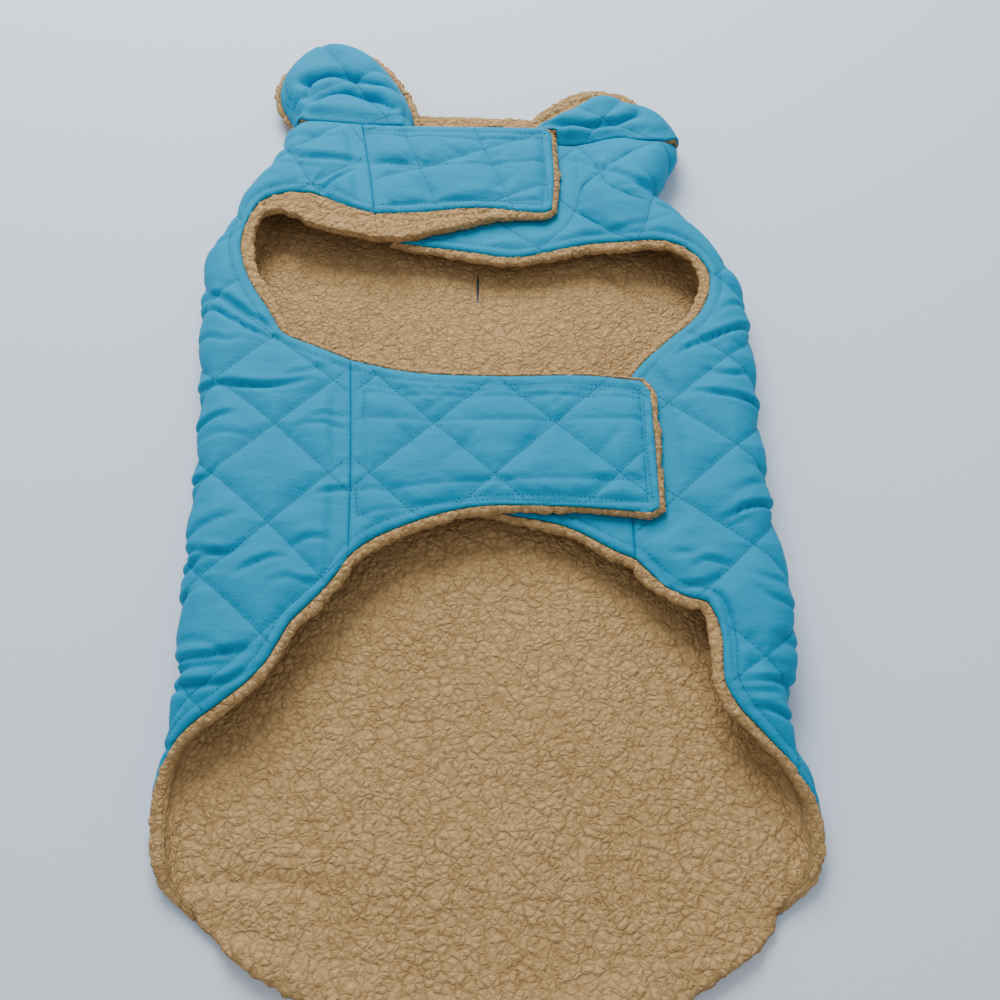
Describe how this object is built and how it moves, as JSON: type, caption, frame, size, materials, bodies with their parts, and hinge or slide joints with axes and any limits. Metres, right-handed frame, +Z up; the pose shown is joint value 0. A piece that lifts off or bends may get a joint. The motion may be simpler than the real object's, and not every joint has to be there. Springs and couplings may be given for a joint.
{
  "type": "dog winter coat",
  "caption": "Quilted dog winter coat with sherpa lining, neck and belly straps closed, laid flat on its back with the belly side up.",
  "frame": {"origin": "middle of the coat's box, on the surface it lies on", "axes": "+Y from the tail towards the neck, along the coat's length; +X across it, to the side where the straps end; +Z up, out of the belly side"},
  "size_m": [0.416, 0.807, 0.041],
  "materials": {
    "quilted_shell": "smooth woven polyester, diamond quilted, soft low sheen",
    "sherpa_lining": "matt curly sherpa pile"
  },
  "bodies": {
    "root": {"back_shell": "quilted_shell", "back_lining": "sherpa_lining", "left_side_shell": "quilted_shell", "left_side_lining": "sherpa_lining", "right_side_shell": "quilted_shell", "right_side_lining": "sherpa_lining", "belly_strap_shell": "quilted_shell", "belly_strap_lining": "sherpa_lining", "belly_tab_shell": "quilted_shell", "belly_tab_lining": "sherpa_lining", "neck_strap_shell": "quilted_shell", "neck_strap_lining": "sherpa_lining", "collar_left_shell": "quilted_shell", "collar_left_lining": "sherpa_lining", "collar_right_shell": "quilted_shell", "collar_right_lining": "sherpa_lining"}
  },
  "joints": []
}
